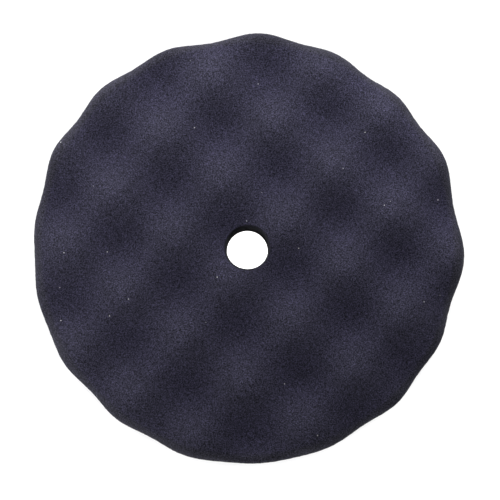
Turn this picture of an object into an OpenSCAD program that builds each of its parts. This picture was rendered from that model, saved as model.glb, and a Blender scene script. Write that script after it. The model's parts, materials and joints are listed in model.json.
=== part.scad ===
// Foam polishing pad, 8 inch, with a waffle (convoluted) working face,
// a centring hole and a loop backing that grips a hook-faced backing plate.
// The pad lies flat: loops down on z = 0, waffle face up, origin on the hole's axis.

/* [Outline] */
// Mean diameter of the foam at its widest
pad_d = 203.2; // [190:0.1:215]
// How far the rim swells and shrinks in step with the waffle
rim_wave = 1.35; // [0:0.05:3]
// Radius that rounds the waffle face over into the side wall
rim_round = 5; // [2:0.5:7]
// How far the side wall flares outwards from its foot to the rim
wall_flare = 3; // [0:0.1:5]
// How far the side wall pulls in at mid-height
wall_waist = 0.8; // [0:0.1:2]

/* [Waffle face] */
// Height of the waffle's middle level above the loops' feet
face_mid_z = 28; // [24:0.5:36]
// Height of a crest above the middle level, and depth of a hollow below it
waffle_height = 4.5; // [2:0.1:6]
// Distance from crest to crest along a row
row_pitch = 51.9; // [40:0.1:70]
// Distance from crest to crest across the rows
column_pitch = 48.2; // [40:0.1:70]
// Angle of the rows, anticlockwise from +X
row_angle = 6.2; // [-45:0.1:45]
// Place of the crest nearest to the hole, along X
crest_x = 17.4; // [-30:0.1:30]
// Place of the crest nearest to the hole, along Y
crest_y = 10.1; // [-30:0.1:30]

/* [Centring hole] */
// Diameter of the hole through every layer
hole_d = 20; // [12:0.5:30]

/* [Backing] */
// Diameter of the adhesive film and the knitted fabric
backing_d = 196; // [180:0.5:200]
// Height of the napped loops
pile_h = 1.4; // [0.8:0.1:3]
// Thickness of the knitted ground fabric
fabric_t = 0.5; // [0.3:0.1:1]
// Thickness of the hot-melt adhesive film
film_t = 0.3; // [0.1:0.1:0.6]

/* [Hidden] */

// Heights at which the layers meet
fabric_z = pile_h;
film_z = fabric_z + fabric_t;
foam_z = film_z + film_t;

// Radius of the foam's foot, where it is glued to the film
foot_r = pad_d / 2 - wall_flare;

// Divisions of the foam's surface: round the pad, and in rings from the hole outwards
sectors = 96;
face_rings = 16;
round_rings = 3;
wall_rings = 5;
rings = face_rings + round_rings + wall_rings;

// Margin by which a cutter passes through what it cuts
through = 5;
$fn = 128;

// Waffle height at a polar place: 1 on a crest, -1 in a hollow
function waffle(r, a) =
    let (x = r * cos(a) - crest_x,
         y = r * sin(a) - crest_y,
         along = x * cos(row_angle) + y * sin(row_angle),
         across = y * cos(row_angle) - x * sin(row_angle))
    cos(360 * along / row_pitch) * cos(360 * across / column_pitch);

// Height of the waffle face before its rim is rounded over
function face_z(r, a) = face_mid_z + waffle_height * waffle(r, a);

// Radius of the foam at its widest, in direction a
function rim_r(a) = pad_d / 2 + rim_wave * waffle(pad_d / 2, a);

// Waffle face: t runs from 0 on the axis to 1 where the rounding starts
function face_point(t, a) =
    let (r = t * (rim_r(a) - rim_round))
    [r * cos(a), r * sin(a), face_z(r, a)];

// Rounded rim: t runs from 0 at the face to 1 at the widest line
function round_point(t, a) =
    let (r = rim_r(a) - rim_round * (1 - sin(90 * t)),
         z = face_z(r, a) - rim_round * (1 - cos(90 * t)))
    [r * cos(a), r * sin(a), z];

// Side wall: t runs from 0 at the widest line to 1 at the foot
function wall_point(t, a) =
    let (rim = rim_r(a),
         flare = pow(t, 2) * (3 - 2 * t),
         r = rim + (foot_r - rim) * flare - wall_waist * sin(180 * t),
         top = face_z(rim, a) - rim_round)
    [r * cos(a), r * sin(a), top + (foam_z - top) * t];

// Ring number i, counted from 1 next to the axis to the foot
function ring_point(i, a) =
    i <= face_rings ? face_point(i / face_rings, a)
    : i <= face_rings + round_rings ? round_point((i - face_rings) / round_rings, a)
    : wall_point((i - face_rings - round_rings) / wall_rings, a);

// Closed foam block, crest to foot, before the hole is cut
module foam_block() {
    on_ring = [for (i = [1 : rings], s = [0 : sectors - 1]) ring_point(i, 360 * s / sectors)];
    top_centre = len(on_ring);
    foot_centre = top_centre + 1;
    points = concat(on_ring, [[0, 0, face_z(0, 0)], [0, 0, foam_z]]);
    last = (rings - 1) * sectors;
    cap = [for (s = [0 : sectors - 1]) [top_centre, (s + 1) % sectors, s]];
    bands = [
        for (i = [0 : rings - 2], s = [0 : sectors - 1], half = [0, 1])
        let (near = i * sectors + s,
             near_next = i * sectors + (s + 1) % sectors,
             far = near + sectors,
             far_next = near_next + sectors)
        half == 0 ? [near, near_next, far] : [near_next, far_next, far]
    ];
    foot = [for (s = [0 : sectors - 1]) [foot_centre, last + s, last + (s + 1) % sectors]];
    polyhedron(points = points, faces = concat(cap, bands, foot));
}

// Cutter for the centring hole
module hole(top) {
    translate([0, 0, -through])
        cylinder(h = top + 2 * through, d = hole_d);
}

// Flat round layer of the backing with the hole through it
module layer(z, thickness, d) {
    difference() {
        translate([0, 0, z])
            cylinder(h = thickness, d = d);
        hole(z + thickness);
    }
}

// Open-cell foam block that carries the polish
module foam_body() {
    color("#2f2e3a")
        difference() {
            foam_block();
            hole(face_mid_z + waffle_height);
        }
}

// Hot-melt film that bonds the fabric to the foam's flat back
module adhesive_film() {
    color("#7c7971")
        layer(film_z, film_t, backing_d);
}

// Warp-knitted ground of the loop fabric
module backing_fabric() {
    color("#35353a")
        layer(fabric_z, fabric_t, backing_d);
}

// Napped loops that the backing plate's hooks catch
module loop_pile() {
    color("#46464a")
        layer(0, pile_h, backing_d);
}

foam_body();
adhesive_film();
backing_fabric();
loop_pile();
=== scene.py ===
# Foam polishing pad with a waffle face, lying on its loop backing on a pale floor.
import json
import math

import bpy
import numpy as np
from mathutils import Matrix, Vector, noise

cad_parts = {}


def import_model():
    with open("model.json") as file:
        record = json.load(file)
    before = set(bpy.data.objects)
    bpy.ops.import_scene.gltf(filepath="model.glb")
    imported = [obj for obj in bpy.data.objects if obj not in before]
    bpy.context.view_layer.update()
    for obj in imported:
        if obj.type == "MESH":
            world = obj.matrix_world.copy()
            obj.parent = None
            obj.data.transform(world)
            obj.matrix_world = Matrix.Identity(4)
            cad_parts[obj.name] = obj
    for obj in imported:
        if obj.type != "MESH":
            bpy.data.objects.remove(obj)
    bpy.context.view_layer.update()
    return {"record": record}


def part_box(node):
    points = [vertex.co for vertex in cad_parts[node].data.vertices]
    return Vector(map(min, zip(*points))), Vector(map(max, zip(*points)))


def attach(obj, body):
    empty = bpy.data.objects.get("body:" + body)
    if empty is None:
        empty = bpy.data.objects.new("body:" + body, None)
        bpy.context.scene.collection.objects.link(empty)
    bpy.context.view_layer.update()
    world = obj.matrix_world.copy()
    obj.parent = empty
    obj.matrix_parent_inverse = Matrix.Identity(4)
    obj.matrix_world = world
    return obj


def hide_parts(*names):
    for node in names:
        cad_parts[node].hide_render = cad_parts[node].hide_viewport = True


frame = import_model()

MM = 0.001

# The foam's driving sizes, the same as the CAD model's
PAD_R = 101.6 * MM
RIM_WAVE = 1.35 * MM
RIM_ROUND = 5 * MM
WALL_FLARE = 3 * MM
WALL_WAIST = 0.8 * MM
WAFFLE_HEIGHT = 4.5 * MM
ROW_PITCH = 51.9 * MM
COLUMN_PITCH = 48.2 * MM
ROW_ANGLE = math.radians(6.2)
CREST_X, CREST_Y = 17.4 * MM, 10.1 * MM

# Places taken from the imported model
FOAM_LOW, FOAM_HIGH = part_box("foam_body")
FILM_LOW, FILM_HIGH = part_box("adhesive_film")
FABRIC_LOW, FABRIC_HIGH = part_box("backing_fabric")
PILE_LOW, PILE_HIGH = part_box("loop_pile")
FACE_MID_Z = FOAM_HIGH.z - WAFFLE_HEIGHT
BACKING_R = FILM_HIGH.x
BORE_R = frame["record"]["mounts"][0]["dims"]["r_mm"] * MM


# ---------------------------------------------------------------- meshes

def mesh_piece(name, points, faces, material):
    """A smooth mesh object from points and faces, in metres, with one material."""
    mesh = bpy.data.meshes.new(name)
    mesh.from_pydata(np.asarray(points, float).tolist(), [], faces)
    mesh.polygons.foreach_set("use_smooth", np.ones(len(mesh.polygons), bool))
    mesh.materials.append(material)
    mesh.update()
    piece = bpy.data.objects.new(name, mesh)
    bpy.context.scene.collection.objects.link(piece)
    return piece


def circle(count):
    """Angles of count points round a ring."""
    return np.arange(count) * (2 * math.pi / count)


def ring(radius, height, count):
    """Points on one ring; radius and height are numbers or one number for each point."""
    angle = circle(count)
    return np.stack([radius * np.cos(angle), radius * np.sin(angle), height + 0 * angle], 1)


def band(first, n, second, m):
    """Faces between ring first with n points and ring second with m, where m is n, 2n or n/2."""
    if m == n:
        return [(first + i, second + i, second + (i + 1) % n, first + (i + 1) % n) for i in range(n)]
    if m < n:
        return [tuple(reversed(face)) for face in band(second, m, first, n)]
    faces = []
    for i in range(n):
        here, after = first + i, first + (i + 1) % n
        left, middle, right = (second + (2 * i + k) % m for k in range(3))
        faces += [(here, left, middle), (here, middle, after), (after, middle, right)]
    return faces


def closed_skin(rings):
    """Points and faces of a closed skin over a loop of rings."""
    starts = np.cumsum([0] + [len(r) for r in rings])
    faces = []
    for i, near in enumerate(rings):
        j = (i + 1) % len(rings)
        faces += band(int(starts[i]), len(near), int(starts[j]), len(rings[j]))
    return np.concatenate(rings), faces


def noise_at(points, size, seed):
    """Smooth noise from about -1 to 1 at each point, with features of the given size."""
    offset = Vector((seed * 17.3, seed * 5.1, seed * 9.7))
    return np.array([noise.noise(Vector(p) / size + offset) for p in points])


# ---------------------------------------------------------------- foam body

# Rings are this far apart on the visible skin
SKIN_STEP = 0.8 * MM
# Points on a ring near the hole, half-way out and near the rim
SECTORS = (160, 320, 640)
# Radii at which the number of points doubles
DOUBLING = (26 * MM, 52 * MM)
# The punch leaves the hole a little wider near the waffle face, with a softened edge
HOLE_FLARE = 0.6 * MM
FLARE_DEPTH = 5 * MM
HOLE_ROUND = 0.5 * MM
# How far the real waffle strays from a perfect one, sideways and in height
WAFFLE_STRAY = 1.0 * MM
STRAY_SIZE = 60 * MM
HEIGHT_STRAY = 0.07
# Relief of the skin: torn cells, drawn point by point, and soft lumps
CELL_RELIEF = 0.035 * MM
CELL_SEED = 5
LUMP_RELIEF = 0.07 * MM
LUMP_SIZE = 3.5 * MM
# Rows of points round the hole's softened edge, and round the rim
HOLE_EDGE_ROWS = 4
RIM_ROWS = 10
# Radii of the rings on the flat foot
FOOT_RINGS = np.array([75, 50, 35, 24]) * MM


def sectors_at(radius):
    """Number of points on a ring of this radius."""
    return SECTORS[sum(radius > r for r in DOUBLING)]


def waffle(x, y):
    """Waffle height at a place: 1 on a crest and -1 in a hollow."""
    flat = np.stack([x, y, 0 * x], 1)
    x = x + WAFFLE_STRAY * noise_at(flat, STRAY_SIZE, seed=1) - CREST_X
    y = y + WAFFLE_STRAY * noise_at(flat, STRAY_SIZE, seed=2) - CREST_Y
    along = x * math.cos(ROW_ANGLE) + y * math.sin(ROW_ANGLE)
    across = y * math.cos(ROW_ANGLE) - x * math.sin(ROW_ANGLE)
    height = np.cos(2 * math.pi * along / ROW_PITCH) * np.cos(2 * math.pi * across / COLUMN_PITCH)
    return height * (1 - HEIGHT_STRAY * (0.5 + noise_at(flat, STRAY_SIZE, seed=3)))


def face_z(radius, count):
    """Heights of the waffle face at the points of a ring."""
    angle = circle(count)
    return FACE_MID_Z + WAFFLE_HEIGHT * waffle(radius * np.cos(angle), radius * np.sin(angle))


def rim_r(count):
    """Radii of the foam at its widest, in every direction."""
    angle = circle(count)
    return PAD_R + RIM_WAVE * waffle(PAD_R * np.cos(angle), PAD_R * np.sin(angle))


def hole_rings():
    """Wall of the hole from the foot up, its flare near the face, and its softened edge."""
    count = SECTORS[0]
    mouth = BORE_R + HOLE_FLARE
    top = face_z(mouth, count) - HOLE_ROUND
    rows = round((FACE_MID_Z - FOAM_LOW.z) / SKIN_STEP)
    rings = []
    for i in range(rows + 1):
        z = FOAM_LOW.z + (top - FOAM_LOW.z) * i / rows
        rise = (1 - (top - z) / FLARE_DEPTH).clip(0, 1)
        rings.append(ring(BORE_R + HOLE_FLARE * rise * rise, z, count))
    for turn in np.linspace(0, math.pi / 2, HOLE_EDGE_ROWS)[1:-1]:
        radius = mouth + HOLE_ROUND * (1 - math.cos(turn))
        drop = HOLE_ROUND * (1 - math.sin(turn))
        rings.append(ring(radius, face_z(radius, count) - drop, count))
    return rings


def face_rings():
    """Waffle face from the hole's edge to where the rim starts to turn over."""
    inner, outer = BORE_R + HOLE_FLARE + HOLE_ROUND, PAD_R - RIM_ROUND
    rows = round((outer - inner) / SKIN_STEP)
    rings = []
    for i in range(rows):
        share = i / rows
        count = sectors_at(inner + (outer - inner) * share)
        radius = inner + (rim_r(count) - RIM_ROUND - inner) * share
        rings.append(ring(radius, face_z(radius, count), count))
    return rings


def rim_rings():
    """Rim that turns from the face over into the side wall."""
    count = SECTORS[-1]
    rim, rings = rim_r(count), []
    for turn in np.linspace(0, math.pi / 2, RIM_ROWS):
        radius = rim - RIM_ROUND * (1 - math.sin(turn))
        rings.append(ring(radius, face_z(radius, count) - RIM_ROUND * (1 - math.cos(turn)), count))
    return rings


def wall_rings():
    """Side wall from just under the rim down to the foot."""
    count = SECTORS[-1]
    rim = rim_r(count)
    top = face_z(rim, count) - RIM_ROUND
    foot_r = PAD_R - WALL_FLARE
    rows = round((FACE_MID_Z - RIM_ROUND - FOAM_LOW.z) / SKIN_STEP)
    rings = []
    for i in range(1, rows + 1):
        t = i / rows
        flare = t * t * (3 - 2 * t)
        radius = rim + (foot_r - rim) * flare - WALL_WAIST * math.sin(math.pi * t)
        rings.append(ring(radius, top + (FOAM_LOW.z - top) * t, count))
    return rings


def foot_rings():
    """Flat foot, glued to the film, from the side wall in to the hole."""
    return [ring(r, FOAM_LOW.z, sectors_at(r)) for r in FOOT_RINGS]


def roughen(piece, clear_below):
    """Moves each point of the skin along its normal by the foam's relief, except near the foot."""
    mesh = piece.data
    points = np.empty(len(mesh.vertices) * 3)
    normals = np.empty(len(mesh.vertices) * 3)
    mesh.vertices.foreach_get("co", points)
    mesh.vertex_normals.foreach_get("vector", normals)
    points, normals = points.reshape(-1, 3), normals.reshape(-1, 3)
    cells = np.random.default_rng(CELL_SEED).normal(0, 1, len(points)).clip(-2, 2)
    relief = CELL_RELIEF * cells + LUMP_RELIEF * noise_at(points, LUMP_SIZE, seed=4)
    relief *= ((points[:, 2] - clear_below) / SKIN_STEP).clip(0, 1)
    mesh.vertices.foreach_set("co", (points + normals * relief[:, None]).ravel())
    mesh.update()


def foam_body():
    rings = hole_rings() + face_rings() + rim_rings() + wall_rings() + foot_rings()
    points, faces = closed_skin(rings)
    piece = mesh_piece("foam_skin", points, faces, foam_material())
    roughen(piece, FOAM_LOW.z)
    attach(piece, "root")
    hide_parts("foam_body")


# ---------------------------------------------------------------- backing

# Points on each ring of the thin layers, and radii of the rings on their flats
LAYER_SECTORS = 480
LAYER_RINGS = (30 * MM, 55 * MM, 80 * MM)
# How far the cut edges of the film and of the knit bulge
FILM_BULGE = 0.12 * MM
KNIT_BULGE = 0.1 * MM
# How unevenly the laminate was punched out
EDGE_STRAY = 0.12 * MM
EDGE_STRAY_SIZE = 9 * MM


def thin_layer(name, low, high, bulge, material, seed):
    """Flat round layer with the hole through it; its edges bulge out between low and high."""
    middle = (low + high) / 2
    profile = [(BORE_R, low), (BORE_R - bulge, middle), (BORE_R, high)]
    profile += [(r, high) for r in LAYER_RINGS]
    profile += [(BACKING_R - bulge, high), (BACKING_R, middle), (BACKING_R - bulge, low)]
    profile += [(r, low) for r in reversed(LAYER_RINGS)]
    points, faces = closed_skin([ring(r, z, LAYER_SECTORS) for r, z in profile])
    far = np.linalg.norm(points[:, :2], axis=1)
    on_edge = far > LAYER_RINGS[-1] + bulge
    stray = EDGE_STRAY * noise_at(points, EDGE_STRAY_SIZE, seed) * on_edge
    points[:, :2] += points[:, :2] / far[:, None] * stray[:, None]
    return mesh_piece(name, points, faces, material)


def adhesive_film():
    piece = thin_layer("hot_melt_film", FILM_LOW.z, FILM_HIGH.z, FILM_BULGE, film_material(), seed=11)
    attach(piece, "root")
    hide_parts("adhesive_film")


def backing_fabric():
    piece = thin_layer("ground_knit", FABRIC_LOW.z, FABRIC_HIGH.z, KNIT_BULGE, knit_material(), seed=12)
    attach(piece, "root")
    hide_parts("backing_fabric")


# Distance between neighbouring loops along and across the knit
COURSE_GAP = 1.55 * MM
WALE_GAP = 1.55 * MM
# Radius of the yarn, and the span and lean of a usual loop
YARN_R = 0.14 * MM
LOOP_SPAN = 1.05 * MM
LOOP_LEAN = 0.45 * MM
# How the loops differ: place of the feet, turn, span and drop as shares, and lean
FEET_SCATTER = 0.12 * MM
TURN_SCATTER = 0.5
SPAN_SHARES = (0.8, 1.15)
DROP_SHARES = (0.72, 1.0)
LEAN_LIMIT = 1.6
LOOP_SEED = 20
# Points along a loop and round its yarn
LOOP_JOINTS = 6
YARN_SIDES = 3


def loop_sites(parity):
    """Feet of the loops in every second wale, inside the backing's outline."""
    reach = int(BACKING_R / WALE_GAP) + 1
    sites = [
        (WALE_GAP * wale, COURSE_GAP * (course + 0.5 * (wale % 2)))
        for wale in range(-reach, reach + 1) if wale % 2 == parity
        for course in range(-reach, reach + 1)
    ]
    sites = np.array(sites)
    far = np.linalg.norm(sites, axis=1)
    margin = LOOP_SPAN / 2 + YARN_R
    return sites[(far > BORE_R + margin) & (far < BACKING_R - margin)]


def loop_points(feet, rng):
    """Points of the loops, each an arch of yarn that hangs from the ground knit."""
    count = len(feet)
    feet = feet + rng.normal(0, FEET_SCATTER, feet.shape)
    yaw = math.pi / 2 + rng.normal(0, TURN_SCATTER, count)
    span = LOOP_SPAN * rng.uniform(*SPAN_SHARES, count)
    drop = (PILE_HIGH.z - PILE_LOW.z - YARN_R) * rng.uniform(*DROP_SHARES, count)
    lean = LOOP_LEAN * rng.normal(0, 1, count).clip(-LEAN_LIMIT, LEAN_LIMIT)
    run = np.stack([np.cos(yaw), np.sin(yaw), 0 * yaw], 1)
    side = np.stack([-np.sin(yaw), np.cos(yaw), 0 * yaw], 1)
    down = np.array([0, 0, -1.0])
    points = []
    for turn in np.linspace(0, math.pi, LOOP_JOINTS):
        centre = np.column_stack([feet, np.full(count, PILE_HIGH.z)])
        centre = centre - run * (span / 2 * math.cos(turn))[:, None]
        centre = centre + down * (drop * math.sin(turn))[:, None]
        centre = centre + side * (lean * math.sin(turn))[:, None]
        out = -run * math.cos(turn) + down * math.sin(turn)
        for corner in circle(YARN_SIDES):
            points.append(centre + YARN_R * (math.cos(corner) * out + math.sin(corner) * side))
    points = np.stack(points, 1)
    points[:, :, 2] = points[:, :, 2].clip(PILE_LOW.z, None)
    return points.reshape(-1, 3)


def loop_faces(count):
    """Faces of the loops: the sides of each arch and its two ends."""
    quads = [
        (j * YARN_SIDES + k, j * YARN_SIDES + (k + 1) % YARN_SIDES,
         (j + 1) * YARN_SIDES + (k + 1) % YARN_SIDES, (j + 1) * YARN_SIDES + k)
        for j in range(LOOP_JOINTS - 1) for k in range(YARN_SIDES)
    ]
    per_loop = LOOP_JOINTS * YARN_SIDES
    ends = [tuple(range(YARN_SIDES))[::-1], tuple(range(per_loop - YARN_SIDES, per_loop))]
    return [tuple(per_loop * i + v for v in face) for i in range(count) for face in quads + ends]


def loops(name, parity, material):
    """One set of napped loops: those of every second wale."""
    feet = loop_sites(parity)
    points = loop_points(feet, np.random.default_rng(LOOP_SEED + parity))
    piece = mesh_piece(name, points, loop_faces(len(feet)), material)
    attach(piece, "root")
    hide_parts("loop_pile")


def loop_pile():
    material = yarn_material()
    loops("loops_even_wales", 0, material)
    loops("loops_odd_wales", 1, material)


# ---------------------------------------------------------------- materials

class Shader:
    """Short way to build a material's nodes round one Principled shader."""

    def __init__(self, name, **sockets):
        self.material = bpy.data.materials.new(name)
        self.material.use_nodes = True
        self.tree = self.material.node_tree
        self.surface = self.tree.nodes["Principled BSDF"]
        for socket, value in sockets.items():
            self.surface.inputs[socket.replace("_", " ")].default_value = value
        self.place = self.add("ShaderNodeTexCoord").outputs["Object"]

    def add(self, kind, inputs=(), **settings):
        """A new node with its settings, and inputs as values or as sockets to link."""
        made = self.tree.nodes.new(kind)
        for setting, value in settings.items():
            setattr(made, setting, value)
        for socket, value in dict(inputs).items():
            self.feed(made.inputs[socket], value)
        return made

    def feed(self, socket, value):
        if isinstance(value, bpy.types.NodeSocket):
            self.tree.links.new(value, socket)
        else:
            socket.default_value = value

    def math(self, operation, a, b=0.0, c=0.0):
        return self.add("ShaderNodeMath", {0: a, 1: b, 2: c}, operation=operation).outputs[0]

    def product(self, *factors):
        """Product of any number of values or sockets."""
        result = factors[0]
        for factor in factors[1:]:
            result = self.math("MULTIPLY", result, factor)
        return result

    def span(self, value, low, high, to_low=0.0, to_high=1.0):
        """Value carried from low..high to to_low..to_high and held at the ends."""
        return self.add("ShaderNodeMapRange", {
            "Value": value, "From Min": low, "From Max": high, "To Min": to_low, "To Max": to_high,
        }).outputs[0]

    def swing(self, value, low, high, contrast):
        """Gain that swings round 1 by the contrast as the value goes from low to high."""
        return self.span(value, low, high, 1 - contrast, 1 + contrast)

    def noise(self, size, detail=2.0):
        """Noise with features of the given size in metres, from 0 to 1."""
        return self.add("ShaderNodeTexNoise", {
            "Vector": self.place, "Scale": 1 / size, "Detail": detail,
        }).outputs["Fac"]

    def cells(self, size):
        """Distance to the nearest cell's middle, as a share of the given size of the cells."""
        return self.add("ShaderNodeTexVoronoi", {
            "Vector": self.place, "Scale": 1 / size,
        }).outputs["Distance"]

    def mix(self, share, a, b):
        made = self.add("ShaderNodeMix", {"Factor": share}, data_type="RGBA")
        self.feed(made.inputs[6], a)
        self.feed(made.inputs[7], b)
        return made.outputs[2]

    def brightened(self, colour, gain):
        """Colour times a number that varies over the surface."""
        made = self.add("ShaderNodeVectorMath", {0: colour}, operation="SCALE")
        self.feed(made.inputs["Scale"], gain)
        return made.outputs[0]

    def bump(self, height, distance, below=None):
        inputs = {"Height": height, "Distance": distance, "Strength": 1.0}
        if below is not None:
            inputs["Normal"] = below
        return self.add("ShaderNodeBump", inputs).outputs["Normal"]


# How low and how high plain noise, the foam's grain and the distance from a cell's middle run
NOISE_RANGE = (0.3, 0.7)
GRAIN_RANGE = (0.32, 0.68)
CELL_RANGE = (0.1, 0.75)
# Foam's colour, with painted light and shade: darker and bluer in the hollows as painted shade, paler
# on the crests as painted light, darker and less blue on the rim and side wall as painted shade, pale
# at a painted glint;
# and the tint of its sheen
HOLLOW_SHADE_COLOUR = (0.0218, 0.0203, 0.0396, 1)
CREST_LIGHT_COLOUR = (0.0257, 0.0245, 0.0429, 1)
WALL_SHADE_COLOUR = (0.0212, 0.0204, 0.0318, 1)
GLINT_COLOUR = (0.45, 0.45, 0.48, 1)
FOAM_SHEEN = (0.62, 0.64, 0.74, 1)
# Size and contrast of the foam's cells, of the grain of its struts, of fine and of broad mottling
CELL_SIZE, CELL_CONTRAST = 0.45 * MM, 0.7
GRAIN_SIZE, GRAIN_CONTRAST = 0.62 * MM, 0.9
MOTTLE_SIZE, MOTTLE_CONTRAST = 3.2 * MM, 0.1
BLOTCH_SIZE, BLOTCH_CONTRAST = 28 * MM, 0.05
# Height of the bumps made by the cells and by the grain
CELL_BUMP, GRAIN_BUMP = 0.12 * MM, 0.10 * MM
# The crests' tips, paler partly from rubbing and partly as painted highlight: how far down they reach,
# and how much paler they are
TIP_DEPTH = 1.6 * MM
TIP_GAIN = 1.13
# Painted shade in the hole: its wall is darkened to this share of the face's brightness
HOLE_SHADE = 0.22
# Usual distance between painted glints, their radius, and how soft their edge is
GLINT_GAP = 10 * MM
GLINT_R = 0.25 * MM
GLINT_EDGE = 0.07 * MM


def foam_material():
    """Matte charcoal open-cell foam: dark cells, paler struts, painted light and shade on crests,
    hollows and wall, and a few painted glints.
    """
    s = Shader("open_cell_foam", Roughness=0.95, IOR=1.35, Sheen_Weight=0.05, Sheen_Roughness=0.5)
    s.surface.inputs["Sheen Tint"].default_value = FOAM_SHEEN
    x, y, height = s.add("ShaderNodeSeparateXYZ", {0: s.place}).outputs
    off_axis = s.math("SQRT", s.math("MULTIPLY_ADD", x, x, s.math("MULTIPLY", y, y)))
    cell = s.cells(CELL_SIZE)
    grain = s.noise(GRAIN_SIZE, 3)
    gain = s.product(
        s.swing(cell, *CELL_RANGE, CELL_CONTRAST),
        s.swing(grain, *GRAIN_RANGE, GRAIN_CONTRAST),
        s.swing(s.noise(MOTTLE_SIZE, 3), *NOISE_RANGE, MOTTLE_CONTRAST),
        s.swing(s.noise(BLOTCH_SIZE, 2), *NOISE_RANGE, BLOTCH_CONTRAST),
        # crests' tips paler: partly rubbed, partly painted highlight
        s.span(height, FOAM_HIGH.z - TIP_DEPTH, FOAM_HIGH.z - TIP_DEPTH / 4, 1.0, TIP_GAIN),
        # painted shade: the hole's wall darkened
        s.span(off_axis, BORE_R + HOLE_FLARE, BORE_R + 2 * HOLE_FLARE, HOLE_SHADE, 1.0),
    )
    # painted light and shade: paler on the crests, darker and bluer in the hollows
    crest = s.span(height, FACE_MID_Z - WAFFLE_HEIGHT / 2, FOAM_HIGH.z)
    # painted shade: the rim and side wall darker and less blue than the face
    wall = s.span(off_axis, PAD_R - RIM_ROUND, PAD_R - WALL_FLARE)
    skin = s.mix(wall, s.mix(crest, HOLLOW_SHADE_COLOUR, CREST_LIGHT_COLOUR), WALL_SHADE_COLOUR)
    # painted glints: pale specks painted where foam cells would catch the light
    painted_glint = s.span(
        s.cells(GLINT_GAP), GLINT_R / GLINT_GAP, (GLINT_R + GLINT_EDGE) / GLINT_GAP, 1.0, 0.0)
    s.feed(s.surface.inputs["Base Color"], s.mix(painted_glint, s.brightened(skin, gain), GLINT_COLOUR))
    s.feed(s.surface.inputs["Normal"], s.bump(cell, CELL_BUMP, s.bump(grain, GRAIN_BUMP)))
    return s.material


FILM_COLOUR = (0.20, 0.19, 0.165)
# Size of the film's clouds, how dark and how pale they are, and size and height of its ripples
CLOUD_SIZE = 4 * MM
CLOUD_SHADES = (0.85, 1.1)
RIPPLE_SIZE, RIPPLE_BUMP = 0.9 * MM, 0.06 * MM


def film_material():
    """Satin hot-melt film, a little cloudy."""
    s = Shader("hot_melt", Roughness=0.45, IOR=1.48)
    cloud = s.span(s.noise(CLOUD_SIZE, 3), 0.35, 0.65, *CLOUD_SHADES)
    s.feed(s.surface.inputs["Base Color"], s.brightened(FILM_COLOUR, cloud))
    s.feed(s.surface.inputs["Normal"], s.bump(s.noise(RIPPLE_SIZE, 2), RIPPLE_BUMP))
    return s.material


# A wave texture of scale 1 repeats after this length
WAVE_REPEAT = 0.314
# Width and length of a knitted stitch
STITCH_W = 0.8 * MM
STITCH_L = 0.6 * MM


def stitches(s):
    """Rows of knitted stitches: 1 on a stitch and 0 between them."""
    across = s.add("ShaderNodeTexWave", {
        "Vector": s.place, "Scale": WAVE_REPEAT / STITCH_W, "Distortion": 0.4,
    }, bands_direction="X").outputs["Fac"]
    along = s.add("ShaderNodeTexWave", {
        "Vector": s.place, "Scale": WAVE_REPEAT / STITCH_L, "Distortion": 0.6,
    }, bands_direction="Y").outputs["Fac"]
    return s.math("MULTIPLY", across, along)


KNIT_COLOUR = (0.03, 0.03, 0.034)
# How dark the knit is between its stitches and how pale on them, and the look of its fibre
STITCH_SHADES = (0.55, 1.25)
FIBRE_SIZE, FIBRE_CONTRAST = 0.2 * MM, 0.2
STITCH_BUMP, FIBRE_BUMP = 0.15 * MM, 0.03 * MM


def knit_material():
    """Dark warp-knitted nylon ground."""
    s = Shader("ground_knit", Roughness=0.8, IOR=1.5, Sheen_Weight=0.25, Sheen_Roughness=0.4)
    stitch = stitches(s)
    fibre = s.noise(FIBRE_SIZE, 2)
    gain = s.product(
        s.span(stitch, 0.0, 1.0, *STITCH_SHADES),
        s.swing(fibre, *NOISE_RANGE, FIBRE_CONTRAST),
    )
    s.feed(s.surface.inputs["Base Color"], s.brightened(KNIT_COLOUR, gain))
    s.feed(s.surface.inputs["Normal"], s.bump(stitch, STITCH_BUMP, s.bump(fibre, FIBRE_BUMP)))
    return s.material


YARN_COLOUR = (0.055, 0.055, 0.062)
# Differences from loop to loop, and the strands of the yarn
TONE_SIZE, TONE_CONTRAST = 2.5 * MM, 0.25
STRAND_SIZE, STRAND_CONTRAST, STRAND_BUMP = 0.12 * MM, 0.2, 0.04 * MM


def yarn_material():
    """Fine nylon yarn of the loops, with strands twisted round it."""
    s = Shader("loop_yarn", Roughness=0.55, IOR=1.53, Sheen_Weight=0.4, Sheen_Roughness=0.35)
    tone = s.noise(TONE_SIZE, 2)
    strand = s.noise(STRAND_SIZE, 2)
    gain = s.product(
        s.swing(tone, *NOISE_RANGE, TONE_CONTRAST),
        s.swing(strand, *NOISE_RANGE, STRAND_CONTRAST),
    )
    s.feed(s.surface.inputs["Base Color"], s.brightened(YARN_COLOUR, gain))
    s.feed(s.surface.inputs["Normal"], s.bump(strand, STRAND_BUMP))
    return s.material


# ---------------------------------------------------------------- floor, light and camera

# Half the floor's width
FLOOR_HALF = 6.0
# How white the floor looks, and how much light it throws back on the pad
FLOOR_WHITE = 0.88
FLOOR_BOUNCE = 0.45
# Brightness of the patch of floor seen through the hole, and where it starts and stops fading
HOLE_GLOW = 1.2
GLOW_FADE = (BORE_R * 1.2, BORE_R * 3)


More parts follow.
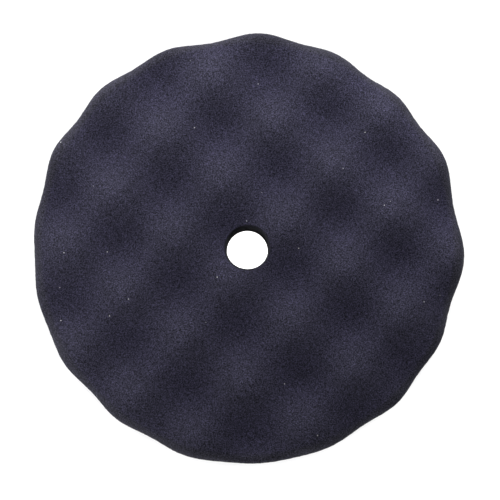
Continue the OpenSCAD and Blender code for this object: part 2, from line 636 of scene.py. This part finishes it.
def floor_material():
    """White paper, whiter for the camera than as a reflector of light.

    For the camera alone, the patch under the hole also glows as if lit from below.
    """
    s = Shader("white_paper", Roughness=0.9)
    s.surface.inputs["Emission Color"].default_value = (1, 1, 1, 1)
    seen = s.add("ShaderNodeLightPath").outputs["Is Camera Ray"]
    s.feed(s.surface.inputs["Base Color"], s.span(seen, 0.0, 1.0, FLOOR_BOUNCE, FLOOR_WHITE))
    far = s.add("ShaderNodeVectorMath", {0: s.place}, operation="LENGTH").outputs["Value"]
    glow = s.span(far, *GLOW_FADE, HOLE_GLOW, 0.0)
    s.feed(s.surface.inputs["Emission Strength"], s.math("MULTIPLY", seen, glow))
    return s.material


def floor():
    h = FLOOR_HALF
    corners = [(-h, -h, PILE_LOW.z), (h, -h, PILE_LOW.z), (h, h, PILE_LOW.z), (-h, h, PILE_LOW.z)]
    made = mesh_piece("floor", corners, [(0, 1, 2, 3)], floor_material())
    return made


# Strength of the surroundings as a light
WORLD_LIGHT = 0.03


def world():
    """Even pale surroundings: bright for the camera, dim as a light."""
    made = bpy.data.worlds.new("studio")
    made.use_nodes = True
    tree = made.node_tree
    ground = tree.nodes["Background"]
    seen = tree.nodes.new("ShaderNodeLightPath").outputs["Is Camera Ray"]
    strength = tree.nodes.new("ShaderNodeMapRange")
    strength.inputs["To Min"].default_value = WORLD_LIGHT
    strength.inputs["To Max"].default_value = 1.0
    tree.links.new(seen, strength.inputs["Value"])
    tree.links.new(strength.outputs[0], ground.inputs["Strength"])
    ground.inputs["Color"].default_value = (1, 1, 1, 1)
    bpy.context.scene.world = made


# Soft boxes round the pad: bearing from +X and height above the horizon in degrees, distance and
# side in metres, and power in watts
LAMPS = {
    "key_right": (60, 38, 0.33, 0.18, 0.70),
    "low_back": (120, 8, 0.33, 0.18, 0.61),
    "near_right": (45, 18, 0.22, 0.10, 0.16),
    "near_back": (135, 18, 0.22, 0.10, 0.18),
    "near_left": (195, 18, 0.22, 0.10, 0.14),
    "near_front": (225, 18, 0.22, 0.10, 0.05),
    "fill_front": (270, 20, 1.20, 0.60, 5.3),
}
# Strength and spread of the broad light from straight above that only the floor takes
FLOOR_LIGHT = 5.7
FLOOR_LIGHT_SPREAD = math.radians(70)


def lamp(name, kind, power):
    light = bpy.data.lights.new(name, kind)
    light.energy = power
    made = bpy.data.objects.new(name, light)
    made.visible_camera = False
    bpy.context.scene.collection.objects.link(made)
    return made


def lamps(floor_piece):
    """Soft boxes that light the pad, and the floor's own light."""
    pad_only = bpy.data.collections.new("lit_by_soft_boxes")
    pad_only.objects.link(floor_piece)
    pad_only.collection_objects[0].light_linking.link_state = "EXCLUDE"
    floor_only = bpy.data.collections.new("lit_by_floor_light")
    floor_only.objects.link(floor_piece)
    for name, (bearing, elevation, distance, side, power) in LAMPS.items():
        made = lamp(name, "AREA", power)
        made.data.shape = "SQUARE"
        made.data.size = side
        a, e = math.radians(bearing), math.radians(elevation)
        towards = Vector((math.cos(a) * math.cos(e), math.sin(a) * math.cos(e), math.sin(e)))
        made.location = towards * distance + Vector((0, 0, FACE_MID_Z))
        made.rotation_euler = towards.to_track_quat("Z", "Y").to_euler()
        made.light_linking.receiver_collection = pad_only
    above = lamp("floor_light", "SUN", FLOOR_LIGHT)
    above.data.angle = FLOOR_LIGHT_SPREAD
    above.light_linking.receiver_collection = floor_only


# Camera's height above the horizon, its distance from the point it aims at, and the view's width there
CAMERA_ELEVATION = math.radians(86.0)
CAMERA_DISTANCE = 1.0
CAMERA_AIM = Vector((1.3 * MM, -0.8 * MM, 23 * MM))
FRAME_WIDTH = 237.5 * MM


def camera():
    """Camera nearly straight above the pad, leaning back towards -Y."""
    data = bpy.data.cameras.new("camera")
    data.lens = data.sensor_width * CAMERA_DISTANCE / FRAME_WIDTH
    data.clip_start, data.clip_end = 0.05, 50
    made = bpy.data.objects.new("camera", data)
    back = Vector((0, -math.cos(CAMERA_ELEVATION), math.sin(CAMERA_ELEVATION)))
    made.location = CAMERA_AIM + back * CAMERA_DISTANCE
    made.rotation_euler = back.to_track_quat("Z", "Y").to_euler()
    bpy.context.scene.collection.objects.link(made)
    bpy.context.scene.camera = made


# Plain colours with no film curve
bpy.context.scene.view_settings.view_transform = "Standard"
camera()
world()
lamps(floor())
foam_body()
adhesive_film()
backing_fabric()
loop_pile()
